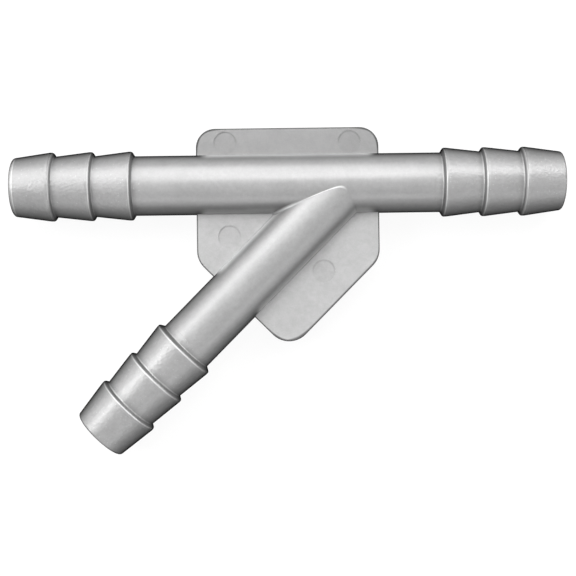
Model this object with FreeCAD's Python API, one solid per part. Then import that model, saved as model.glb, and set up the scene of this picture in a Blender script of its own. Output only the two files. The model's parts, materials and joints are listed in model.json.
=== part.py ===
import FreeCAD, Part
import math
import os

# Y hose connector, moulded in one piece from a hard grey plastic.
# A straight run tube lies along X, and a branch tube leaves it at an angle towards -X and -Y.
# Each of the three tube ends is a barbed spigot that a hose is pushed over.
# A flat web at mid height ties the two tubes together around their junction.
# Frame: X along the run, Y across it in the plane of the web, Z up.
# The origin is on the axis of the run, half way between its two ends.
# Lengths are in millimetres and angles in degrees.

# Run tube, from end to end
RUN_LENGTH = 94.5
STEM_DIAMETER = 10.3
BORE_DIAMETER = 7.0
BORE_MOUTH_ROUND = 0.3

# Branch tube: its axis meets the run's axis at the offset, and its length is measured from there
BRANCH_OFFSET = 9.9
BRANCH_ANGLE = 45.0
BRANCH_LENGTH = 60.7

# The branch's wall and bore are each this much smaller in radius, so both close inside the run's
BRANCH_WALL_STEP = 0.1
BRANCH_BORE_STEP = 0.1

# Barbs, alike on the three spigots: a cone, a narrow land at the crest and a steep back
BARB_COUNT = 3
BARB_PITCH = 6.8
RUN_TIP_LENGTH = 6.3
BRANCH_TIP_LENGTH = 6.7
TIP_DIAMETER = 10.1
TIP_ROUND = 0.45
CREST_DIAMETER = 11.9
CREST_LAND = 0.5
CREST_ROUND = 0.3
BARB_ROOT_DIAMETER = 10.5
BARB_ROOT_ROUND = 0.2
BARB_BACK_ANGLE = 58.0

# Web: straight top and sides, and a pointed foot whose left edge is square to the branch
WEB_THICKNESS = 2.0
WEB_WIDTH = 31.5
WEB_RISE = 9.65
WEB_DROP = 13.1
WEB_UPPER_CORNER_RADIUS = 3.3
WEB_LOWER_CORNER_RADIUS = 4.0
WEB_EDGE_ROUND = 0.25

# Fillets where the two tubes meet, and where the web meets the tubes
JUNCTION_ROUND = 0.4
SEAM_ROUND = 0.1

# Ejector pin marks, four shallow discs sunk in the upper face of the web
MARK_DIAMETER = 3.9
MARK_DEPTH = 0.1
UPPER_MARK_INSET = 5.05
UPPER_MARK_MARGIN = 0.6
LEFT_MARK_INSET = 5.65
LEFT_MARK_GAP = 1.95
RIGHT_MARK_REACH = 13.4
RIGHT_MARK_GAP = 1.0

# How far a cutting tool runs past the face it opens, and how closely an edge is told by its place
OVERRUN = 1.0
PLACE_TOLERANCE = 0.001

ORIGIN = FreeCAD.Vector(0, 0, 0)
RUN_AXIS = FreeCAD.Vector(1, 0, 0)
UP = FreeCAD.Vector(0, 0, 1)
STEM_RADIUS = STEM_DIAMETER / 2
BRANCH_STEM_RADIUS = STEM_RADIUS - BRANCH_WALL_STEP
BRANCH_TURN = 180 + BRANCH_ANGLE
BRANCH_ROOT = RUN_AXIS * BRANCH_OFFSET


def direction(turn):
    """Unit vector in the plane of the web, turned about Z from the run's axis."""
    return FreeCAD.Vector(math.cos(math.radians(turn)), math.sin(math.radians(turn)), 0)


def corner_arc(before, corner, after, radius):
    """Start, middle and end of the arc that rounds one corner of an outline."""
    back = (before - corner).normalize()
    onward = (after - corner).normalize()
    half_angle = back.getAngle(onward) / 2
    tangent_length = radius / math.tan(half_angle)
    inset = radius / math.sin(half_angle) - radius
    middle = corner + (back + onward).normalize() * inset
    return corner + back * tangent_length, middle, corner + onward * tangent_length


def rounded_outline(corners):
    """Closed wire through (corner, radius) pairs, with straight sides and tangent arcs."""
    arcs = []
    for place, (corner, radius) in enumerate(corners):
        before = corners[place - 1][0]
        after = corners[(place + 1) % len(corners)][0]
        arcs.append(corner_arc(before, corner, after, radius))
    edges = []
    for place, (start, middle, end) in enumerate(arcs):
        if corners[place][1] > 0:
            edges.append(Part.Arc(start, middle, end).toShape())
        next_start = arcs[(place + 1) % len(arcs)][0]
        edges.append(Part.LineSegment(end, next_start).toShape())
    return Part.Wire(edges)


def turned(profile):
    """Solid of revolution about X from (x, radius, rounding) corners."""
    outline = [(FreeCAD.Vector(x, radius, 0), rounding) for x, radius, rounding in profile]
    return Part.Face(rounded_outline(outline)).revolve(ORIGIN, RUN_AXIS, 360)


def along_branch(solid):
    """A solid made along X from the origin, laid along the branch from its root."""
    solid.rotate(ORIGIN, UP, BRANCH_TURN)
    solid.translate(BRANCH_ROOT)
    return solid


def spigot_profile(tip_length, stem_radius):
    """Outer corners of a spigot from its end inwards, each as (depth, radius, rounding)."""
    crest_radius = CREST_DIAMETER / 2
    root_radii = [BARB_ROOT_DIAMETER / 2] * (BARB_COUNT - 1) + [stem_radius]
    profile = [(0, TIP_DIAMETER / 2, TIP_ROUND)]
    for barb, root_radius in enumerate(root_radii):
        crest = tip_length + barb * BARB_PITCH
        back_length = (crest_radius - root_radius) / math.tan(math.radians(BARB_BACK_ANGLE))
        profile.append((crest, crest_radius, 0))
        profile.append((crest + CREST_LAND, crest_radius, CREST_ROUND))
        profile.append((crest + CREST_LAND + back_length, root_radius, BARB_ROOT_ROUND))
    return profile


def run_tube():
    """The run's outer form, solid, with a spigot at each end."""
    end = RUN_LENGTH / 2
    spigot = spigot_profile(RUN_TIP_LENGTH, STEM_RADIUS)
    right = [(end - depth, radius, rounding) for depth, radius, rounding in spigot]
    left = [(-x, radius, rounding) for x, radius, rounding in reversed(right)]
    return turned([(end, 0, 0)] + right + left + [(-end, 0, 0)])


def branch_tube():
    """The branch's outer form, solid, from its root inside the run to its spigot."""
    spigot = spigot_profile(BRANCH_TIP_LENGTH, BRANCH_STEM_RADIUS)
    outer = [(BRANCH_LENGTH - depth, radius, rounding) for depth, radius, rounding in spigot]
    root = [(0, BRANCH_STEM_RADIUS, 0), (0, 0, 0)]
    return along_branch(turned([(BRANCH_LENGTH, 0, 0)] + outer + root))


def on_wall(edge, root, axis, radius):
    """Whether the middle of an edge lies on the wall of a tube."""
    middle = edge.valueAt((edge.FirstParameter + edge.LastParameter) / 2)
    return abs(middle.distanceToLine(root, axis) - radius) < PLACE_TOLERANCE


def joined_tubes():
    """Run and branch as one solid, with a fillet all round their junction."""
    tubes = run_tube().fuse(branch_tube())
    branch_axis = direction(BRANCH_TURN)
    on_run = [edge for edge in tubes.Edges if on_wall(edge, ORIGIN, RUN_AXIS, STEM_RADIUS)]
    junction = [
        edge for edge in on_run if on_wall(edge, BRANCH_ROOT, branch_axis, BRANCH_STEM_RADIUS)
    ]
    return tubes.makeFillet(JUNCTION_ROUND, junction)


def web():
    """The flat web, centred on the run and on mid height, with its rims rounded."""
    half = WEB_WIDTH / 2
    foot = WEB_DROP + half * math.tan(math.radians(90 - BRANCH_ANGLE))
    corners = [
        (half, WEB_RISE, WEB_UPPER_CORNER_RADIUS),
        (-half, WEB_RISE, WEB_UPPER_CORNER_RADIUS),
        (-half, -WEB_DROP, WEB_LOWER_CORNER_RADIUS),
        (0, -foot, WEB_LOWER_CORNER_RADIUS),
        (half, -WEB_DROP, WEB_LOWER_CORNER_RADIUS),
    ]
    level = -WEB_THICKNESS / 2
    outline = [(FreeCAD.Vector(x, y, level), radius) for x, y, radius in corners]
    plate = Part.Face(rounded_outline(outline)).extrude(UP * WEB_THICKNESS)
    rims = [edge for edge in plate.Edges if edge.BoundBox.ZLength < PLACE_TOLERANCE]
    return plate.makeFillet(WEB_EDGE_ROUND, rims)


def is_seam(body, edge):
    """Whether an edge is where a tube rises out of a flat face of the web."""
    faces = body.ancestorsOfType(edge, Part.Face)
    flat = [face for face in faces if face.BoundBox.ZLength < PLACE_TOLERANCE]
    heights = [max(face.BoundBox.ZMax, -face.BoundBox.ZMin) for face in faces]
    return len(flat) == 1 and max(heights) > WEB_THICKNESS / 2 + PLACE_TOLERANCE


def webbed_tubes():
    """The tubes with the web around their junction, filleted where the web meets them."""
    body = joined_tubes().fuse(web())
    seams = [edge for edge in body.Edges if is_seam(body, edge)]
    return body.makeFillet(SEAM_ROUND, seams)


def mark_places():
    """Centres of the four ejector pin marks on the web."""
    mark_radius = MARK_DIAMETER / 2
    side = WEB_WIDTH / 2
    upper_y = WEB_RISE - UPPER_MARK_MARGIN - mark_radius
    lower_y = -STEM_RADIUS - LEFT_MARK_GAP - mark_radius
    beside = BRANCH_STEM_RADIUS + RIGHT_MARK_GAP + mark_radius
    reach = direction(BRANCH_TURN) * RIGHT_MARK_REACH
    return [
        FreeCAD.Vector(-side + UPPER_MARK_INSET, upper_y, 0),
        FreeCAD.Vector(side - UPPER_MARK_INSET, upper_y, 0),
        FreeCAD.Vector(-side + LEFT_MARK_INSET, lower_y, 0),
        BRANCH_ROOT + reach + direction(BRANCH_TURN + 90) * beside,
    ]


def mark_tools():
    """Discs that sink the ejector pin marks into the upper face of the web."""
    floor = UP * (WEB_THICKNESS / 2 - MARK_DEPTH)
    height = MARK_DEPTH + SEAM_ROUND
    return [Part.makeCylinder(MARK_DIAMETER / 2, height, place + floor) for place in mark_places()]


def bore_tools():
    """Through bore of the run, and the branch's bore from the run's axis out of its mouth."""
    bore_radius = BORE_DIAMETER / 2
    run_start = RUN_AXIS * (-RUN_LENGTH / 2 - OVERRUN)
    run_bore = Part.makeCylinder(bore_radius, RUN_LENGTH + 2 * OVERRUN, run_start, RUN_AXIS)
    branch_radius = bore_radius - BRANCH_BORE_STEP
    branch_bore = Part.makeCylinder(branch_radius, BRANCH_LENGTH + OVERRUN, ORIGIN, RUN_AXIS)
    return [run_bore, along_branch(branch_bore)]


def mouth_edges(body):
    """The edges where the bores open in the three end faces."""
    run_end = RUN_AXIS * (RUN_LENGTH / 2)
    ends = [run_end, -run_end, BRANCH_ROOT + direction(BRANCH_TURN) * BRANCH_LENGTH]
    mouths = []
    for edge in body.Edges:
        centred = any(edge.CenterOfMass.distanceToPoint(end) < PLACE_TOLERANCE for end in ends)
        if centred and edge.BoundBox.ZLength < BORE_DIAMETER + PLACE_TOLERANCE:
            mouths.append(edge)
    return mouths


def connector():
    """The whole connector as one solid."""
    body = webbed_tubes().cut(bore_tools() + mark_tools())
    body = body.makeFillet(BORE_MOUTH_ROUND, mouth_edges(body))
    return body.Solids[0]


def main():
    os.makedirs("parts", exist_ok=True)
    connector().exportStep("parts/connector_body.step")


main()
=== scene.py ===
"""Y hose connector on a pale floor under soft studio light, seen from straight above."""

import json
import logging
import math
from dataclasses import dataclass, field
from enum import Enum

import bmesh
import bpy
from bpy.types import NodeSocket
from mathutils import Matrix, Vector

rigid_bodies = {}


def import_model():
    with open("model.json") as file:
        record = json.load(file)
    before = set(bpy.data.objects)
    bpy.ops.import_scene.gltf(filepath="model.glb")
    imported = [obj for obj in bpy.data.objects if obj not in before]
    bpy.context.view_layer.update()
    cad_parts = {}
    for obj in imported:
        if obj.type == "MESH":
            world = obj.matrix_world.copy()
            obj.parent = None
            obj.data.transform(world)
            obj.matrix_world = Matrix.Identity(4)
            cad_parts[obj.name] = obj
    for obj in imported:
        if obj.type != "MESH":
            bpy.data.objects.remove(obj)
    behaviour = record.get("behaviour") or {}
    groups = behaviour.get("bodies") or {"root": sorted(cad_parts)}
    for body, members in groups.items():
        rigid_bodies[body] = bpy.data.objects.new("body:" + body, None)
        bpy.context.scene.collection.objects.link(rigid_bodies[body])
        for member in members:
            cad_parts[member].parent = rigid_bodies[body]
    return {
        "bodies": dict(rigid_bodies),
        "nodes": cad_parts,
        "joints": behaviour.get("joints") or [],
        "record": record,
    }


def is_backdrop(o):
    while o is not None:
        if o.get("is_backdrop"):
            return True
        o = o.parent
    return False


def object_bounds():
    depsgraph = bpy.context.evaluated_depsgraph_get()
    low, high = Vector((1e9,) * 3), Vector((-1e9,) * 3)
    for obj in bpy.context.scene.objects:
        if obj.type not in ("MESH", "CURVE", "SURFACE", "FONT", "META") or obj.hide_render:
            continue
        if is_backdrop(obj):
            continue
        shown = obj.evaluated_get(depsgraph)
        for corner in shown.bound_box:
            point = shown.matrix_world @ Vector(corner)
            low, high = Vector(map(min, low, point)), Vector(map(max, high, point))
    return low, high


LOG = logging.getLogger("y_connector")

CONNECTOR_NODE = "connector_body"
MM = 0.001
PHOTO_WIDTH_PX = 576

# Sine and cosine of the 45 degrees between run and branch
SLOPE = math.sqrt(0.5)

# Most of a noise's values lie between these two
NOISE_LOW = 0.3
NOISE_HIGH = 0.7

# A number that a node takes: a socket that gives it, or the number itself
Value = NodeSocket | float


class SocketKind(Enum):
    """Kinds of socket that a node group has."""

    VALUE = "NodeSocketFloat"
    VECTOR = "NodeSocketVector"


class NodeBuilder:
    """Adds nodes to one tree and links them up."""

    def __init__(self, tree: bpy.types.NodeTree) -> None:
        """Take the tree to build in."""
        self.tree = tree

    def link(self, source: NodeSocket, target: NodeSocket) -> None:
        """Link an output to an input."""
        self.tree.links.new(source, target)

    def add(self, kind: str, inputs: dict | None = None, **settings: object) -> bpy.types.Node:
        """Add one node.

        Args:
            kind: The node's type.
            inputs: Values or sockets for its inputs, by name or by place.
            settings: Properties of the node.

        Returns:
            The new node.
        """
        node = self.tree.nodes.new(kind)
        for name, value in settings.items():
            setattr(node, name, value)
        for place, value in (inputs or {}).items():
            if isinstance(value, NodeSocket):
                self.link(value, node.inputs[place])
            else:
                node.inputs[place].default_value = value
        return node

    def maths(self, operation: str, first: Value, second: Value = 0.0) -> NodeSocket:
        """Combine two numbers.

        Args:
            operation: What the node does.
            first: First number.
            second: Second number, which some operations don't read.

        Returns:
            The result's socket.
        """
        return self.add("ShaderNodeMath", {0: first, 1: second}, operation=operation).outputs[0]

    def smooth_greater(self, first: Value, second: Value, reach: float) -> NodeSocket:
        """Give the greater of two numbers, with a smooth turn between them.

        Args:
            first: First number.
            second: Second number.
            reach: How near the two have to be for the turn to start.

        Returns:
            The result's socket.
        """
        inputs = {0: first, 1: second, 2: reach}
        return self.add("ShaderNodeMath", inputs, operation="SMOOTH_MAX").outputs[0]

    def mix(self, share: Value, first: Value, second: Value) -> NodeSocket:
        """Go from one number to another by a share.

        Args:
            share: 0 for the first number and 1 for the second.
            first: First number.
            second: Second number.

        Returns:
            The result's socket.
        """
        return self.add("ShaderNodeMix", {0: share, 2: first, 3: second}).outputs[0]

    def spread(
        self, value: Value, low: float, high: float, start: float = 0.0, end: float = 1.0
    ) -> NodeSocket:
        """Map a range of numbers to another, smoothly and within bounds.

        Args:
            value: The number.
            low: Number that becomes start.
            high: Number that becomes end.
            start: Result at low.
            end: Result at high.

        Returns:
            The result's socket.
        """
        inputs = {"Value": value, "From Min": low, "From Max": high, "To Min": start, "To Max": end}
        node = self.add("ShaderNodeMapRange", inputs, interpolation_type="SMOOTHSTEP")
        return node.outputs["Result"]

    def toned(self, mask: Value, tone: float) -> NodeSocket:
        """Give a tone that is 1 outside a mask and the given one inside it."""
        return self.spread(mask, 0.0, 1.0, 1.0, tone)

    def noise(self, place: NodeSocket, cell_mm: float, detail: float = 2.0) -> NodeSocket:
        """Make noise between 0 and 1 with cells of one size.

        Args:
            place: Place in millimetres.
            cell_mm: Size of the cells.
            detail: Finer layers on top.

        Returns:
            The noise's socket.
        """
        inputs = {"Vector": place, "Scale": 1.0 / cell_mm, "Detail": detail, "Roughness": 0.55}
        return self.add("ShaderNodeTexNoise", inputs).outputs["Fac"]

    def axes(self, vector: NodeSocket) -> list[NodeSocket]:
        """Split a vector into its x, y and z."""
        return list(self.add("ShaderNodeSeparateXYZ", {"Vector": vector}).outputs)

    def off_wall(self, first: Value, second: Value, radius: float) -> NodeSocket:
        """Measure how far a place is from the wall of a tube.

        Args:
            first: One offset from the tube's axis.
            second: The other offset from it, square to the first.
            radius: Radius of the tube.

        Returns:
            The distance's socket.
        """
        offset = self.add("ShaderNodeCombineXYZ", {0: first, 1: second}).outputs[0]
        length = self.add("ShaderNodeVectorMath", {0: offset}, operation="LENGTH").outputs["Value"]
        return self.maths("ABSOLUTE", self.maths("SUBTRACT", length, radius))


class NodeGroup:
    """A node group under construction, with a builder and its two ends."""

    def __init__(self, name: str, inputs: dict[str, SocketKind], outputs: tuple[str, ...]) -> None:
        """Start the group with its interface.

        Args:
            name: Name of the group.
            inputs: Kinds of its inputs, by name.
            outputs: Names of its outputs, which are all values.
        """
        self.tree = bpy.data.node_groups.new(name, "ShaderNodeTree")
        for label, kind in inputs.items():
            self.tree.interface.new_socket(label, in_out="INPUT", socket_type=kind.value)
        for label in outputs:
            self.tree.interface.new_socket(label, in_out="OUTPUT", socket_type=SocketKind.VALUE.value)
        self.build = NodeBuilder(self.tree)
        self.taken = self.build.add("NodeGroupInput").outputs
        self.given = self.build.add("NodeGroupOutput").inputs

    def give(self, results: dict[str, NodeSocket]) -> bpy.types.NodeTree:
        """Link the results to the group's outputs.

        Args:
            results: Sockets with the results, by the name of the output.

        Returns:
            The finished group.
        """
        for label, result in results.items():
            self.build.link(result, self.given[label])
        return self.tree


@dataclass(frozen=True)
class Tubes:
    """Where the two tubes' walls are.

    Attributes:
        run_radius_mm: Radius of the run's stem.
        branch_radius_mm: Radius of the branch's stem.
        branch_root_mm: Where the branch's axis meets the run's, along the run.
    """

    run_radius_mm: float = 5.15
    branch_radius_mm: float = 5.05
    branch_root_mm: float = 9.9

    def along_branch(self, build: NodeBuilder, x: NodeSocket, y: NodeSocket) -> NodeSocket:
        """Measure how far along the branch a place is, from the branch's root.

        Args:
            build: Builder of the group.
            x: Place along the run.
            y: Place across it.

        Returns:
            The distance's socket.
        """
        aside = build.maths("SUBTRACT", self.branch_root_mm, x)
        return build.maths("MULTIPLY", build.maths("SUBTRACT", aside, y), SLOPE)

    def across_branch(self, build: NodeBuilder, x: NodeSocket, y: NodeSocket) -> NodeSocket:
        """Measure how far a place is from the branch's axis, towards its upper left.

        Args:
            build: Builder of the group.
            x: Place along the run.
            y: Place across it.

        Returns:
            The distance's socket.
        """
        aside = build.maths("SUBTRACT", self.branch_root_mm, x)
        return build.maths("MULTIPLY", build.maths("ADD", aside, y), SLOPE)


@dataclass(frozen=True)
class GrainAndGlints:
    """Fine grain that the mould leaves, with sparse tiny pale specks that paint glints.

    Attributes:
        coarse_mm: Size of the larger grain cells.
        coarse_share: Their share of the grain's height.
        fine_mm: Size of the smaller grain cells.
        glint_mm: Spacing of the pale specks, which are painted glints.
        glint_share: Share of their cells that have a speck, 0 to 1.
        glint_size: Radius of a speck as a share of its cell.
    """

    coarse_mm: float = 0.7
    coarse_share: float = 0.6
    fine_mm: float = 0.25
    glint_mm: float = 0.42
    glint_share: float = 0.3
    glint_size: float = 0.34

    def group(self) -> bpy.types.NodeTree:
        """Build the group that gives the grain's height and the mask of the painted glint specks.

        Returns:
            The node group, from a place in millimetres to Height and Pits.
        """
        grain = NodeGroup("grain_and_glints", {"Place": SocketKind.VECTOR}, ("Height", "Glints"))
        build = grain.build
        place = grain.taken["Place"]
        coarse = build.maths("MULTIPLY", build.noise(place, self.coarse_mm), self.coarse_share)
        fine = build.maths("MULTIPLY", build.noise(place, self.fine_mm), 1.0 - self.coarse_share)
        # Painted glints: sparse pale specks, one in some of the cells.
        cells = build.add("ShaderNodeTexVoronoi", {"Vector": place, "Scale": 1.0 / self.glint_mm})
        near = build.spread(cells.outputs["Distance"], 0.0, self.glint_size, 1.0, 0.0)
        lot = build.add("ShaderNodeSeparateColor", {"Color": cells.outputs["Color"]})
        chosen = build.maths("LESS_THAN", lot.outputs["Red"], self.glint_share)
        glints = build.maths("MULTIPLY", near, chosen)
        return grain.give({"Height": build.maths("ADD", coarse, fine), "Glints": glints})


@dataclass(frozen=True)
class FlashHighlightAndShade:
    """Pale lines at crests, partly mould flash and partly painted highlight, painted highlights at the
    junction and the left end, and painted shade bands behind the crests.

    Attributes:
        tubes: Where the tubes' walls are.
        run_half_mm: Half the run's length.
        run_tip_mm: Distance from the run's ends to their first crests.
        branch_length_mm: Distance of the branch's end from its root.
        branch_tip_mm: Distance from the branch's end to its first crest.
        branch_below_mm: Level across the run under which everything belongs to the branch.
        barb_count: Barbs on a spigot.
        barb_pitch_mm: Distance from one crest to the next.
        crest_margin_mm: How far outwards of its start a crest's surroundings begin.
        line_at_mm: Middle of a crest's pale line, partly flash and partly painted highlight, inwards from
            where the crest starts.
        first_shift_mm: How much further inwards the outermost crests' lines are.
        branch_shift_mm: How much further out the lines of the branch's crests are.
        crest_share: How strong the crests' and the tip's lines are, next to the junction's.
        root_line_at_mm: Middle of the fainter painted highlight line at the foot of a crest's back.
        root_line_share: How strong that line is, next to the crest's. The left spigot has none.
        line_reach_mm: Half width of a line.
        line_core: Share of that half width over which the line is full.
        tip_line_mm: Place along the run of the painted highlight line inside the left end's rim.
        junction_reach_mm: How far off both tubes' walls the junction's painted highlight line goes.
        junction_foot: How much wider the walls' gap counts at the web than at the run's top.
        nose_mm: Distance from the branch's axis within which the junction's line thins.
        nose_thinning: How much wider the gap counts on the axis itself.
        junction_fade_mm: From where to where, across the branch, the junction's line comes in.
        root_blend_mm: Half of the length over which it comes in along the branch.
        band_mm: Where the painted shade band behind a crest starts, is full and ends.
    """

    tubes: Tubes = field(default_factory=Tubes)
    run_half_mm: float = 47.25
    run_tip_mm: float = 6.3
    branch_length_mm: float = 60.7
    branch_tip_mm: float = 6.7
    branch_below_mm: float = -15.0
    barb_count: int = 3
    barb_pitch_mm: float = 6.8
    crest_margin_mm: float = 0.3
    line_at_mm: float = 0.5
    first_shift_mm: float = 0.1
    branch_shift_mm: float = 0.13
    crest_share: float = 0.5
    root_line_at_mm: float = 1.05
    root_line_share: float = 0.4
    line_reach_mm: float = 0.15
    line_core: float = 0.4
    tip_line_mm: float = -46.63
    junction_reach_mm: float = 0.085
    junction_foot: float = 0.3
    nose_mm: float = 2.5
    nose_thinning: float = 2.2
    junction_fade_mm: tuple[float, float] = (-1.5, 0.8)
    root_blend_mm: float = 0.4
    band_mm: tuple[float, float, float] = (0.5, 0.8, 2.4)

    def group(self) -> bpy.types.NodeTree:
        """Build the group that gives the masks of the pale lines (painted highlight, partly mould flash), of
        the painted shade bands and of the barbs.

        Returns:
            The node group, from a place in millimetres to Lines, Bands and Barbs.
        """
        marks = NodeGroup("flash_highlight_and_shade", {"Place": SocketKind.VECTOR}, ("FlashAndHighlight", "ShadeBands", "Barbs"))
        build = marks.build
        place = build.axes(marks.taken["Place"])
        is_branch = build.maths("LESS_THAN", place[1], self.branch_below_mm)
        inwards = self.inwards(build, place, is_branch)
        start, full, end = self.band_mm
        last_band_end = (self.barb_count - 1) * self.barb_pitch_mm + end
        barbed = build.maths("LESS_THAN", inwards, last_band_end)
        begun = build.maths("GREATER_THAN", inwards, -self.crest_margin_mm)
        by_crests = build.maths("MULTIPLY", begun, barbed)
        from_margin = build.maths("ADD", inwards, self.crest_margin_mm)
        wrapped = build.maths("FLOORED_MODULO", from_margin, self.barb_pitch_mm)
        behind = build.maths("SUBTRACT", wrapped, self.crest_margin_mm)
        crests = self.crest_lines(build, place[0], is_branch, inwards, behind)
        crests = build.maths("MULTIPLY", crests, by_crests)
        # Painted highlight on the rounded rim of the left end.
        tip = self.line(build, place[0], self.tip_line_mm)
        turned = build.maths("MULTIPLY", build.maths("MAXIMUM", crests, tip), self.crest_share)
        lines = build.maths("MAXIMUM", turned, self.junction(build, place))
        # Painted shade: a darker band behind each crest.
        falling = build.spread(behind, full, end, 1.0, 0.0)
        band = build.maths("MULTIPLY", build.spread(behind, start, full), falling)
        bands = build.maths("MULTIPLY", band, by_crests)
        return marks.give({"FlashAndHighlight": lines, "ShadeBands": bands, "Barbs": barbed})

    def inwards(self, build: NodeBuilder, place: list[NodeSocket], is_branch: NodeSocket) -> NodeSocket:
        """Measure how far inwards of its spigot's first crest a place is.

        Args:
            build: Builder of the group.
            place: The place's x, y and z.
            is_branch: Mask of the branch.

        Returns:
            The distance's socket.
        """
        x, y, _ = place
        on_run = build.maths("SUBTRACT", self.run_half_mm, build.maths("ABSOLUTE", x))
        along = self.tubes.along_branch(build, x, y)
        on_branch = build.maths("SUBTRACT", self.branch_length_mm, along)
        depth = build.mix(is_branch, on_run, on_branch)
        return build.maths("SUBTRACT", depth, build.mix(is_branch, self.run_tip_mm, self.branch_tip_mm))

    def crest_lines(
        self,
        build: NodeBuilder,
        x: NodeSocket,
        is_branch: NodeSocket,
        inwards: NodeSocket,
        behind: NodeSocket,
    ) -> NodeSocket:
        """Mask of the pale lines at the crests, partly flash and partly painted highlight, and of the
        painted highlight lines at the feet of their backs.

        Args:
            build: Builder of the group.
            x: Place along the run.
            is_branch: Mask of the branch.
            inwards: Distance inwards of the spigot's first crest.
            behind: Distance inwards of the nearest crest.

        Returns:
            The mask's socket.
        """
        not_left = build.maths("MAXIMUM", is_branch, build.maths("GREATER_THAN", x, 0.0))
        root_share = build.maths("MULTIPLY", not_left, self.root_line_share)
        root = build.maths("MULTIPLY", self.line(build, behind, self.root_line_at_mm), root_share)
        is_first = build.maths("LESS_THAN", inwards, self.barb_pitch_mm / 2)
        branch_shift = build.maths("MULTIPLY", is_branch, self.branch_shift_mm)
        first_shift = build.maths("MULTIPLY", is_first, self.first_shift_mm)
        shifted = build.maths("SUBTRACT", build.maths("ADD", behind, branch_shift), first_shift)
        return build.maths("MAXIMUM", self.line(build, shifted, self.line_at_mm), root)

    def line(self, build: NodeBuilder, value: NodeSocket, middle: float) -> NodeSocket:
        """Mask of a thin line where a value is near its middle.

        Args:
            build: Builder of the group.
            value: The value.
            middle: The value in the middle of the line.

        Returns:
            The mask's socket.
        """
        gap = build.maths("ABSOLUTE", build.maths("SUBTRACT", value, middle))
        return build.spread(gap, self.line_core * self.line_reach_mm, self.line_reach_mm, 1.0, 0.0)

    def junction(self, build: NodeBuilder, place: list[NodeSocket]) -> NodeSocket:
        """Mask of the painted highlight line where the branch's left flank rises out of the run.

        Args:
            build: Builder of the group.
            place: The place's x, y and z.

        Returns:
            The mask's socket.
        """
        x, y, z = place
        across = self.tubes.across_branch(build, x, y)
        off_run = build.off_wall(y, z, self.tubes.run_radius_mm)
        off_branch = build.off_wall(across, z, self.tubes.branch_radius_mm)
        height = build.maths("DIVIDE", build.maths("ABSOLUTE", z), self.tubes.run_radius_mm)
        rise = build.maths("MULTIPLY", height, 1.0 - self.junction_foot)
        gap = build.maths("MAXIMUM", off_run, off_branch)
        gap = build.maths("MULTIPLY", gap, build.maths("ADD", rise, self.junction_foot))
        gap = build.maths("MULTIPLY", gap, build.spread(across, 0.0, self.nose_mm, self.nose_thinning, 1.0))
        reach = self.junction_reach_mm
        near = build.spread(gap, self.line_core * reach, reach, 1.0, 0.0)
        on_left = build.maths("MULTIPLY", near, build.spread(across, *self.junction_fade_mm))
        along = self.tubes.along_branch(build, x, y)
        return build.maths("MULTIPLY", on_left, build.spread(along, -self.root_blend_mm, self.root_blend_mm))


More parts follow.
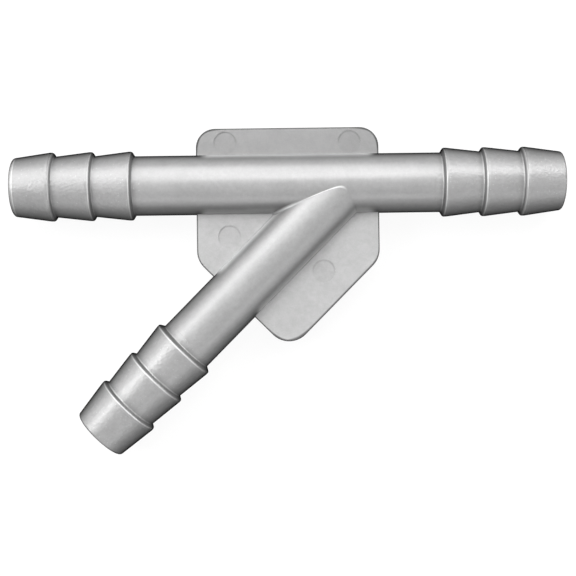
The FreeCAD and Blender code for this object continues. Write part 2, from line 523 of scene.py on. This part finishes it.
@dataclass(frozen=True)
class PlasticToneAndShade:
    """How dark the plastic is from place to place, with painted shade on the tubes, on a strip of the web
    and at the marks' far edges.

    Attributes:
        cloud_mm: Size of the faint cloudy patches.
        cloud_detail: Finer layers on top of them.
        cloud_depth: How much they darken the plastic.
        tube_shade_tone: Tone of the tubes, painted shade that keeps them darker than the web.
        web_level_mm: Distance from mid level up to which the skin counts as web.
        web_blend_mm: Height over which it turns to tube.
        shade_strip_mm: From where to where, across the run, the painted shade on a strip of the web comes
            in.
        shade_strip_tone: Tone of that painted shade.
        mark_level_mm: Level of the floors of the ejector pin marks.
        mark_level_reach_mm: How near that level a floor is full, and how near it starts.
        mark_tone: Tone of those floors.
        mark_places_mm: Centres of the marks, as x and y.
        mark_edge_at_mm: Radius of the shaded edge of a mark.
        mark_edge_reach_mm: How near that radius the shade is full, and how near it starts.
        mark_shade_mm: From where to where, across the run from a mark's centre, the shade comes in.
        mark_near_share: How much of it is left on the mark's near side.
        mark_edge_tone: Tone of the shaded edge.
        speck_mm: Centre of the dark speck by the seam over the web.
        speck_radius_mm: Its radius.
        speck_core: Share of that radius over which the speck is full.
        speck_tone: Its tone.
    """

    cloud_mm: float = 4.0
    cloud_detail: float = 3.0
    cloud_depth: float = 0.08
    tube_shade_tone: float = 0.8
    web_level_mm: float = 1.3
    web_blend_mm: float = 0.8
    shade_strip_mm: tuple[float, float] = (4.7, 5.5)
    shade_strip_tone: float = 0.5
    mark_level_mm: float = 0.9
    mark_level_reach_mm: tuple[float, float] = (0.01, 0.03)
    mark_tone: float = 0.95
    mark_places_mm: tuple[tuple[float, float], ...] = (
        (-10.7, 7.1),
        (10.7, 7.1),
        (-10.1, -9.05),
        (6.08, -15.13),
    )
    mark_edge_at_mm: float = 1.87
    mark_edge_reach_mm: tuple[float, float] = (0.04, 0.28)
    mark_shade_mm: tuple[float, float] = (-0.9, 1.2)
    mark_near_share: float = 0.15
    mark_edge_tone: float = 0.84
    speck_mm: tuple[float, float, float] = (-14.2, 4.98, 1.3)
    speck_radius_mm: float = 0.36
    speck_core: float = 0.3
    speck_tone: float = 0.5

    def group(self) -> bpy.types.NodeTree:
        """Build the group that gives the tone.

        Returns:
            The node group, from a place in millimetres to Tone, 1 where the plastic is palest.
        """
        tones = NodeGroup("plastic_tone_and_shade", {"Place": SocketKind.VECTOR}, ("Tone",))
        build = tones.build
        place = tones.taken["Place"]
        x, y, z = build.axes(place)
        patches = build.noise(place, self.cloud_mm, self.cloud_detail)
        height = build.maths("ABSOLUTE", z)
        web_top = self.web_level_mm + self.web_blend_mm
        low = build.spread(height, self.web_level_mm, web_top, 1.0, 0.0)
        # Painted shade on the strip of web on the run's +Y side.
        strip = build.maths("MULTIPLY", build.spread(y, *self.shade_strip_mm), low)
        factors = (
            build.toned(strip, self.shade_strip_tone),
            # Painted shade: the tubes darker than the web.
            build.spread(low, 0.0, 1.0, self.tube_shade_tone, 1.0),
            build.toned(self.mark_floors(build, z), self.mark_tone),
            build.toned(build.maths("MULTIPLY", self.mark_edges(build, x, y), low), self.mark_edge_tone),
            build.toned(self.speck(build, place), self.speck_tone),
        )
        tone = build.spread(patches, NOISE_LOW, NOISE_HIGH, 1.0 - self.cloud_depth, 1.0)
        for factor in factors:
            tone = build.maths("MULTIPLY", tone, factor)
        return tones.give({"Tone": tone})

    def mark_floors(self, build: NodeBuilder, level: NodeSocket) -> NodeSocket:
        """Mask of the floors of the ejector pin marks.

        Args:
            build: Builder of the group.
            level: Place over mid height.

        Returns:
            The mask's socket.
        """
        offset = build.maths("ABSOLUTE", build.maths("SUBTRACT", level, self.mark_level_mm))
        return build.spread(offset, *self.mark_level_reach_mm, 1.0, 0.0)

    def mark_edges(self, build: NodeBuilder, x: NodeSocket, y: NodeSocket) -> NodeSocket:
        """Mask of the shaded far edges of the ejector pin marks.

        Args:
            build: Builder of the group.
            x: Place along the run.
            y: Place across it.

        Returns:
            The mask's socket.
        """
        mask = 0.0
        for centre_x, centre_y in self.mark_places_mm:
            east = build.maths("SUBTRACT", x, centre_x)
            north = build.maths("SUBTRACT", y, centre_y)
            gap = build.off_wall(east, north, self.mark_edge_at_mm)
            ring = build.spread(gap, *self.mark_edge_reach_mm, 1.0, 0.0)
            shade = build.spread(north, *self.mark_shade_mm, self.mark_near_share, 1.0)
            mask = build.maths("MAXIMUM", build.maths("MULTIPLY", ring, shade), mask)
        return mask

    def speck(self, build: NodeBuilder, place: NodeSocket) -> NodeSocket:
        """Mask of the dark speck.

        Args:
            build: Builder of the group.
            place: Place in millimetres.

        Returns:
            The mask's socket.
        """
        gap = build.add("ShaderNodeVectorMath", {0: place, 1: self.speck_mm}, operation="DISTANCE")
        core = self.speck_core * self.speck_radius_mm
        return build.spread(gap.outputs["Value"], core, self.speck_radius_mm, 1.0, 0.0)


@dataclass(frozen=True)
class WebPlaces:
    """Where the web's outline is, where it meets the tubes, and which flanks of the tubes stand by it.

    Attributes:
        tubes: Where the tubes' walls are.
        half_width_mm: Half the web's width.
        rise_mm: How far the web rises across the run.
        drop_mm: How far down its sides run.
        foot_mm: How far along the branch's direction, from the run's middle, the web's left edge lies.
        face_level_mm: Level of the web's faces over mid height.
        face_reach_mm: How far over that level the web's own skin may be.
        edge_mm: How far outside the outline the skin still counts as the web's.
        margin_mm: How far inside the sides and the foot the flanks' area is full.
        north_mm: From where to where, across the run, the share of its far flank comes in.
        north_share: Share of the flanks' mask that is left on that flank.
        flank_tilt: Upright part of the normal at which a flank is full, and at which it starts.
        seam_mm: How far from a tube the web's seam reaches.
        seam_level_mm: How far over the web's faces the seam is full, and how far it reaches.
        rim_tilt: Upright part of the normal at which the shaded rim starts, and at which it is full.
        upper_blend_mm: Blend of the side and top edges, which follows their rounded corners.
        foot_blend_mm: The same for the two edges of the foot.
        lower_blend_mm: The same for the foot and the sides.
        rim_reach_mm: How far in from its outline the web's rim is shaded.
        right_rim_reach_mm: The same along the foot's right edge, where the photo shows it wider.
        right_blend_mm: Half of the length over which one turns to the other.
        rim_core: Share of that reach, from its inner end, at which the shade is full.
    """

    tubes: Tubes = field(default_factory=Tubes)
    half_width_mm: float = 15.75
    rise_mm: float = 9.65
    drop_mm: float = 13.1
    foot_mm: float = 20.4
    face_level_mm: float = 1.0
    face_reach_mm: float = 0.02
    edge_mm: float = 0.1
    margin_mm: float = 2.5
    north_mm: tuple[float, float] = (2.5, 4.2)
    north_share: float = 0.7
    flank_tilt: tuple[float, float] = (0.3, 0.7)
    seam_mm: float = 0.4
    seam_level_mm: tuple[float, float] = (0.1, 0.5)
    rim_tilt: tuple[float, float] = (0.1, 0.4)
    upper_blend_mm: float = 5.8
    foot_blend_mm: float = 7.0
    lower_blend_mm: float = 1.8
    rim_reach_mm: float = 0.36
    right_rim_reach_mm: float = 0.55
    right_blend_mm: float = 1.5
    rim_core: float = 0.8

    def group(self) -> bpy.types.NodeTree:
        """Build the group that gives the masks of the flanks by the web, the painted shade along its
        outline, and its seams.

        Returns:
            The node group, from a place in millimetres and a normal to Flank, Outline and Seam.
        """
        inputs = {"Place": SocketKind.VECTOR, "Normal": SocketKind.VECTOR}
        places = NodeGroup("web_places", inputs, ("Flank", "OutlineShade", "Seam"))
        build = places.build
        x, y, z = build.axes(places.taken["Place"])
        level = build.maths("ABSOLUTE", z)
        upright = build.maths("ABSOLUTE", build.axes(places.taken["Normal"])[2])
        down = build.maths("MULTIPLY", build.maths("ADD", x, y), -SLOPE)
        beside = build.maths("SUBTRACT", build.maths("ABSOLUTE", x), self.half_width_mm)
        past = build.maths("MAXIMUM", beside, build.maths("SUBTRACT", down, self.foot_mm))
        area = build.spread(past, -self.margin_mm, self.edge_mm, 1.0, 0.0)
        area = build.maths("MULTIPLY", area, build.spread(y, *self.north_mm, 1.0, self.north_share))
        # Flanks by the web, where the material thins the shading coat: painted light.
        flank = build.maths("MULTIPLY", area, build.spread(upright, *self.flank_tilt, 1.0, 0.0))
        seam = build.maths("MULTIPLY", self.seam(build, (x, y, z)), build.maths("LESS_THAN", past, 0.0))
        on_web = build.maths("LESS_THAN", level, self.face_level_mm + self.face_reach_mm)
        on_rim = build.maths("MULTIPLY", on_web, build.spread(upright, *self.rim_tilt))
        # Painted shade along the web's outline.
        outline = build.maths("MULTIPLY", self.outline(build, x, y), on_rim)
        return places.give({"Flank": flank, "OutlineShade": outline, "Seam": seam})

    def seam(self, build: NodeBuilder, place: tuple[NodeSocket, ...]) -> NodeSocket:
        """Mask of the strip along the tubes' walls where the web meets them.

        Args:
            build: Builder of the group.
            place: The place's x, y and z.

        Returns:
            The mask's socket.
        """
        x, y, z = place
        off_run = build.off_wall(y, z, self.tubes.run_radius_mm)
        across = self.tubes.across_branch(build, x, y)
        off_branch = build.off_wall(across, z, self.tubes.branch_radius_mm)
        beyond_run = build.maths("MULTIPLY", build.maths("GREATER_THAN", y, 0.0), self.half_width_mm)
        nearest = build.maths("MINIMUM", off_run, build.maths("ADD", off_branch, beyond_run))
        close = build.spread(nearest, 0.0, self.seam_mm, 1.0, 0.0)
        over_face = build.maths("SUBTRACT", build.maths("ABSOLUTE", z), self.face_level_mm)
        return build.maths("MULTIPLY", close, build.spread(over_face, *self.seam_level_mm, 1.0, 0.0))

    def outline(self, build: NodeBuilder, x: NodeSocket, y: NodeSocket) -> NodeSocket:
        """Mask of the painted shade strip along the web's outline.

        Args:
            build: Builder of the group.
            x: Place along the run.
            y: Place across it.

        Returns:
            The mask's socket.
        """
        point = self.drop_mm + self.half_width_mm
        side = build.maths("SUBTRACT", build.maths("ABSOLUTE", x), self.half_width_mm)
        top = build.maths("SUBTRACT", y, self.rise_mm)
        deep = build.maths("MULTIPLY", build.maths("ADD", y, point), -SLOPE)
        aside = build.maths("MULTIPLY", x, SLOPE)
        right = build.maths("ADD", deep, aside)
        left = build.maths("SUBTRACT", deep, aside)
        upper = build.smooth_greater(side, top, self.upper_blend_mm)
        foot = build.smooth_greater(right, left, self.foot_blend_mm)
        out = build.smooth_greater(upper, foot, self.lower_blend_mm)
        lead = build.maths("SUBTRACT", right, build.maths("MAXIMUM", side, left))
        by_right = build.spread(lead, -self.right_blend_mm, self.right_blend_mm)
        reach = build.spread(by_right, 0.0, 1.0, self.rim_reach_mm, self.right_rim_reach_mm)
        share = build.maths("ADD", build.maths("DIVIDE", out, reach), 1.0)
        strip = build.spread(share, 0.0, self.rim_core)
        return build.maths("MULTIPLY", strip, build.maths("LESS_THAN", out, self.edge_mm))


@dataclass(frozen=True)
class MouldedPlastic:
    """Grey, satin moulding plastic, with painted highlights, glints and shade in its colour.

    Attributes:
        colour: Base colour, linear RGB.
        roughness: Mean roughness of the moulded skin.
        roughness_spread: How much the grain raises or lowers it.
        dull_roughness: Roughness of the web's rim and seams.
        ior: Index of refraction.
        specular: Strength of the skin's gloss, under the shading coat.
        shade_coat_tint: How much light the shading coat lets through, seen straight on; it darkens the skin
            more at flat angles, which paints shade, since the plastic has no clear top.
        shade_coat_ior: Index of refraction of that coat, so that it reflects nothing.
        shade_coat_roughness: Its roughness.
        flank_shade_coat: Share of the shading coat on the tubes' flanks by the web, which paints light
            there.
        flank_tone: Tone of those flanks, which evens that out.
        outline_shade_tone: Tone of the painted shade along the web's outline.
        flash_and_highlight_tone: Tone of the pale lines, painted highlight and partly mould flash.
        shade_band_tone: Tone of the painted shade bands behind the crests.
        grain_tone: How much the grain's heights and lows differ in tone.
        glint_gain: How much paler the specks are, which are painted glints.
        stem_glints: Share of that gain on the plain stems.
        grain_height_mm: Height of the grain.
        peel_height_mm: Height of the coarser skin on the barbs.
        peel_mm: Size of that skin's cells.
        grain: The mould's grain, with its painted glint specks.
        lines: The pale lines, painted highlight and partly mould flash, and the painted shade bands.
        web: Where the web is.
        tone: Tone from place to place, with painted shade.
    """

    colour: tuple[float, float, float] = (0.462, 0.462, 0.462)
    roughness: float = 0.35
    roughness_spread: float = 0.04
    dull_roughness: float = 0.95
    ior: float = 1.65
    specular: float = 1.0
    shade_coat_tint: float = 0.5
    shade_coat_ior: float = 1.0
    shade_coat_roughness: float = 0.35
    flank_shade_coat: float = 0.2
    flank_tone: float = 0.7
    outline_shade_tone: float = 0.2
    flash_and_highlight_tone: float = 2.0
    shade_band_tone: float = 0.75
    grain_tone: float = 0.12
    glint_gain: float = 0.45
    stem_glints: float = 0.4
    grain_height_mm: float = 0.02
    peel_height_mm: float = 0.06
    peel_mm: float = 0.42
    grain: GrainAndGlints = field(default_factory=GrainAndGlints)
    lines: FlashHighlightAndShade = field(default_factory=FlashHighlightAndShade)
    web: WebPlaces = field(default_factory=WebPlaces)
    tone: PlasticToneAndShade = field(default_factory=PlasticToneAndShade)

    def material(self, name: str) -> bpy.types.Material:
        """Build the node material.

        Args:
            name: Name of the material.

        Returns:
            The finished material.
        """
        material = bpy.data.materials.new(name)
        material.use_nodes = True
        build = NodeBuilder(material.node_tree)
        coordinates = build.add("ShaderNodeTexCoord")
        metres = {0: coordinates.outputs["Object"], "Scale": 1.0 / MM}
        place = build.add("ShaderNodeVectorMath", metres, operation="SCALE").outputs["Vector"]
        where = {"Place": place}
        grain = build.add("ShaderNodeGroup", where, node_tree=self.grain.group()).outputs
        lines = build.add("ShaderNodeGroup", where, node_tree=self.lines.group()).outputs
        tone = build.add("ShaderNodeGroup", where, node_tree=self.tone.group()).outputs
        where["Normal"] = coordinates.outputs["Normal"]
        web = build.add("ShaderNodeGroup", where, node_tree=self.web.group()).outputs

        level = self.level(build, {**grain, **lines, **tone, **web})
        colour = build.add("ShaderNodeVectorMath", {0: self.colour, "Scale": level}, operation="SCALE")
        peel = build.maths("MULTIPLY", build.noise(place, self.peel_mm), lines["Barbs"])
        grit = build.maths("MULTIPLY", grain["Height"], self.grain_height_mm)
        height = build.maths("ADD", grit, build.maths("MULTIPLY", peel, self.peel_height_mm))
        bump = build.add("ShaderNodeBump", {"Height": height, "Distance": MM})
        smoothest = self.roughness - self.roughness_spread
        roughest = self.roughness + self.roughness_spread
        rough = build.spread(grain["Height"], NOISE_LOW, NOISE_HIGH, smoothest, roughest)
        dull = build.maths("MAXIMUM", web["OutlineShade"], web["Seam"])

        shader = material.node_tree.nodes["Principled BSDF"].inputs
        build.link(colour.outputs["Vector"], shader["Base Color"])
        build.link(bump.outputs["Normal"], shader["Normal"])
        build.link(build.mix(dull, rough, self.dull_roughness), shader["Roughness"])
        # Painted shade: a coat that reflects nothing and darkens the skin more at flat angles, thinner on
        # the flanks by the web.
        build.link(build.toned(web["Flank"], self.flank_shade_coat), shader["Coat Weight"])
        shader["IOR"].default_value = self.ior
        shader["Specular IOR Level"].default_value = self.specular
        shader["Coat Tint"].default_value = (*[self.shade_coat_tint] * 3, 1.0)
        shader["Coat IOR"].default_value = self.shade_coat_ior
        shader["Coat Roughness"].default_value = self.shade_coat_roughness
        return material

    def level(self, build: NodeBuilder, masks: dict[str, NodeSocket]) -> NodeSocket:
        """Combine the tones of all effects.

        Args:
            build: Builder of the material.
            masks: What the node groups give, by name.

        Returns:
            Socket of the factor on the base colour.
        """
        palest = 1.0 + self.grain_tone / 2
        # Painted glints: pale specks, fainter on the plain stems.
        stem_glints = build.spread(masks["Barbs"], 0.0, 1.0, self.stem_glints, 1.0)
        glints = build.maths("MULTIPLY", masks["Glints"], stem_glints)
        factors = (
            build.spread(masks["Height"], NOISE_LOW, NOISE_HIGH, palest - self.grain_tone, palest),
            build.toned(glints, 1.0 + self.glint_gain),
            # Painted shade bands behind the crests.
            build.toned(masks["ShadeBands"], self.shade_band_tone),
            # Painted shade along the web's outline.
            build.toned(masks["OutlineShade"], self.outline_shade_tone),
            # Flanks by the web: tone that evens out their thinner shading coat.
            build.toned(masks["Flank"], self.flank_tone),
        )
        level = masks["Tone"]
        for factor in factors:
            level = build.maths("MULTIPLY", level, factor)
        # The pale lines paint highlight, partly mould flash, into the colour.
        return build.mix(masks["FlashAndHighlight"], level, self.flash_and_highlight_tone)


@dataclass
class Connector:
    """The moulded connector, whose form is the CAD node.

    Attributes:
        finish: Its plastic.
    """

    finish: MouldedPlastic = field(default_factory=MouldedPlastic)

    def dress(self, frame: dict) -> bpy.types.Object:
        """Give the CAD node its plastic.


        Returns:
            The dressed object.
        """
        body = frame["nodes"][CONNECTOR_NODE]
        body.material_slots[0].material = self.finish.material("moulded_plastic")
        return body


class BoxSize(Enum):
    """Sizes of softbox, as width across and height along the slope, metres."""

    KEY = (0.18, 0.20)
    KEY_LOW = (0.18, 0.16)
    TOP = (0.14, 0.14)
    TOP_LOW = (0.14, 0.12)
    FAR = (0.20, 0.16)
    STRIP = (0.30, 0.10)


@dataclass(frozen=True)
class Softbox:
    """A soft rectangular lamp that points at the connector.

    Attributes:
        name: Name of the lamp.
        azimuth: Direction from the object, degrees from +X towards +Y.
        zenith: Angle from straight up, degrees.
        size: Its size.
        watts: Power.
        distance: Distance from the object, metres.
    """

    name: str
    azimuth: float
    zenith: float
    size: BoxSize
    watts: float
    distance: float = 0.5

    def hang(self) -> bpy.types.Object:
        """Put the lamp in the scene.

        Returns:
            The lamp.
        """
        data = bpy.data.lights.new(self.name, "AREA")
        data.shape = "RECTANGLE"
        data.size, data.size_y = self.size.value
        data.energy = self.watts
        lamp = bpy.data.objects.new(self.name, data)
        around, down = math.radians(self.azimuth), math.radians(self.zenith)
        level = math.sin(down)
        away = Vector((math.cos(around) * level, math.sin(around) * level, math.cos(down)))
        lamp.location = away * self.distance
        lamp.rotation_mode = "QUATERNION"
        lamp.rotation_quaternion = away.to_track_quat("Z", "Y")
        bpy.context.scene.collection.objects.link(lamp)
        return lamp


@dataclass
class Studio:
    """Floor, lamps, world and camera.

    Attributes:
        floor_size: Side of the square floor, metres.
        floor_grey: The floor's own grey, as it lights the object.
        floor_glow: The part of the floor's white that needs no lamp.
        paper_white: Colour of the rest of that white, which takes the shadow.
        room_level: Strength of the dim surroundings, as they light the object.
        camera_height: Height of the camera over the tubes' axes, metres.
        sensor_mm: Width of the camera's sensor.
        clip_start: Nearest distance that the camera sees, metres.
        photo_scale: Metres to a pixel of the photo, at the level of the tubes' axes.
        centre_px: Where the run's middle lies in the photo, in pixels from its top left corner.
        turn: How far the object is turned in the photo, degrees anticlockwise.
        lamps: The softboxes.
    """

    floor_size: float = 12.0
    floor_grey: float = 0.03
    floor_glow: float = 0.93
    paper_white: float = 0.9
    room_level: float = 0.02
    camera_height: float = 0.188
    sensor_mm: float = 36.0
    clip_start: float = 0.01
    photo_scale: float = 0.1733 * MM
    centre_px: tuple[float, float] = (287.56, 184.26)
    turn: float = 0.725
    lamps: tuple[Softbox, ...] = (
        Softbox("key_east", 48.0, 45.0, BoxSize.KEY, 1.15),
        Softbox("key_north_east", 65.0, 42.0, BoxSize.KEY, 0.52),
        Softbox("key_north", 90.0, 44.0, BoxSize.KEY, 0.58),
        Softbox("key_north_west", 115.0, 43.0, BoxSize.KEY, 0.66),
        Softbox("key_west", 140.0, 44.0, BoxSize.KEY, 0.86),
        Softbox("key_far_west", 174.0, 48.0, BoxSize.KEY_LOW, 1.7),
        Softbox("top_north", 85.0, 23.0, BoxSize.TOP, 0.75),
        Softbox("top_west", 140.0, 22.0, BoxSize.TOP_LOW, 0.22),
        Softbox("far_east", 65.0, 62.0, BoxSize.FAR, 0.3),
        Softbox("far_north", 95.0, 62.0, BoxSize.FAR, 0.8),
        Softbox("far_north_west", 125.0, 62.0, BoxSize.FAR, 0.66),
        Softbox("far_west", 155.0, 62.0, BoxSize.FAR, 0.38),
        Softbox("far_south_west", 180.0, 62.0, BoxSize.FAR, 0.15),
        Softbox("fill_south_west", 252.0, 62.0, BoxSize.FAR, 0.38),
        Softbox("fill_south", 280.0, 60.0, BoxSize.FAR, 0.4),
        Softbox("fill_south_east", 312.0, 62.0, BoxSize.FAR, 0.36),
        Softbox("low_east", 5.0, 82.0, BoxSize.STRIP, 1.0),
        Softbox("low_north_east", 35.0, 82.0, BoxSize.STRIP, 1.3),
        Softbox("low_north_west", 145.0, 82.0, BoxSize.STRIP, 0.22),
        Softbox("low_west", 175.0, 82.0, BoxSize.STRIP, 0.6),
        Softbox("low_south_west", 255.0, 82.0, BoxSize.STRIP, 0.29),
        Softbox("low_south", 290.0, 82.0, BoxSize.STRIP, 0.12),
        Softbox("low_south_east", 325.0, 82.0, BoxSize.STRIP, 0.31),
    )

    def camera(self) -> bpy.types.Object:
        """Put the camera straight over the middle of the picture.

        Returns:
            The camera, made the scene's.
        """
        data = bpy.data.cameras.new("photo_camera")
        data.sensor_width = self.sensor_mm
        data.lens = self.sensor_mm * self.camera_height / (PHOTO_WIDTH_PX * self.photo_scale)
        data.clip_start = self.clip_start
        camera = bpy.data.objects.new("photo_camera", data)
        middle = PHOTO_WIDTH_PX / 2
        across, up = middle - self.centre_px[0], self.centre_px[1] - middle
        turned_back = Matrix.Rotation(math.radians(-self.turn), 4, "Z")
        foot = turned_back @ (Vector((across, up, 0.0)) * self.photo_scale)
        camera.location = foot + Vector((0.0, 0.0, self.camera_height))
        camera.rotation_euler = (0.0, 0.0, math.radians(-self.turn))
        bpy.context.scene.collection.objects.link(camera)
        bpy.context.scene.camera = camera
        return camera

    def floor(self, level: float) -> bpy.types.Object:
        """Lay the pale floor.

        Args:
            level: Height of the floor, metres.

        Returns:
            The floor.
        """
        mesh = bpy.data.meshes.new("floor")
        form = bmesh.new()
        bmesh.ops.create_grid(form, x_segments=1, y_segments=1, size=self.floor_size / 2)
        bmesh.ops.translate(form, verts=form.verts, vec=(0.0, 0.0, level))
        form.to_mesh(mesh)
        form.free()
        floor = bpy.data.objects.new("floor", mesh)
        mesh.materials.append(self.paper())
        bpy.context.scene.collection.objects.link(floor)
        floor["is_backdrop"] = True
        return floor

    def background_rays(self, build: NodeBuilder) -> NodeSocket:
        """Mask of the rays that show the white background: from the camera, gloss and glass.

        Args:
            build: Builder of the material or the world.

        Returns:
            The mask's socket.
        """
        paths = build.add("ShaderNodeLightPath").outputs
        rays = build.maths("MAXIMUM", paths["Is Camera Ray"], paths["Is Glossy Ray"])
        return build.maths("MAXIMUM", rays, paths["Is Transmission Ray"])

    def paper(self) -> bpy.types.Material:
        """Build the floor's paper: white to the camera, with the object's shadow on it.

        Returns:
            The material.
        """
        material = bpy.data.materials.new("studio_paper")
        material.use_nodes = True
        material.node_tree.nodes.clear()
        build = NodeBuilder(material.node_tree)
        grey = build.add("ShaderNodeBsdfDiffuse", {"Color": (*[self.floor_grey] * 3, 1.0)}).outputs[0]
        white = build.add("ShaderNodeBsdfDiffuse", {"Color": (*[self.paper_white] * 3, 1.0)}).outputs[0]
        glow = build.add("ShaderNodeEmission", {"Strength": 1.0}).outputs[0]
        shown = build.add("ShaderNodeMixShader", {0: self.floor_glow, 1: white, 2: glow}).outputs[0]
        rays = self.background_rays(build)
        paper = build.add("ShaderNodeMixShader", {0: rays, 1: grey, 2: shown}).outputs[0]
        build.add("ShaderNodeOutputMaterial", {"Surface": paper})
        return material

    def world(self) -> bpy.types.World:
        """Build the dim surroundings, which are white to the camera and in reflections.

        Returns:
            The world, made the scene's.
        """
        world = bpy.data.worlds.new("studio")
        world.use_nodes = True
        build = NodeBuilder(world.node_tree)
        strength = build.spread(self.background_rays(build), 0.0, 1.0, self.room_level, 1.0)
        background = world.node_tree.nodes["Background"].inputs
        background["Color"].default_value = (1.0, 1.0, 1.0, 1.0)
        build.link(strength, background["Strength"])
        bpy.context.scene.world = world
        return world

    def set_up(self, floor_level: float) -> None:
        """Lay the floor, make the world, hang the lamps and place the camera.

        Args:
            floor_level: Height of the floor, metres.
        """
        LOG.info("laid %s", self.floor(floor_level).name)
        LOG.info("made world %s", self.world().name)
        for softbox in self.lamps:
            LOG.info("hung %s", softbox.hang().name)
        LOG.info("placed %s", self.camera().name)


def main() -> None:
    """Load the frame, dress it and set up the studio."""
    logging.basicConfig(level=logging.INFO, format="%(name)s: %(message)s")
    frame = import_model()
    frame_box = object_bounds()
    bpy.context.scene.view_settings.view_transform = "Standard"
    LOG.info("dressed %s", Connector().dress(frame).name)
    Studio().set_up(frame_box[0].z)


if __name__ == "__main__":
    main()
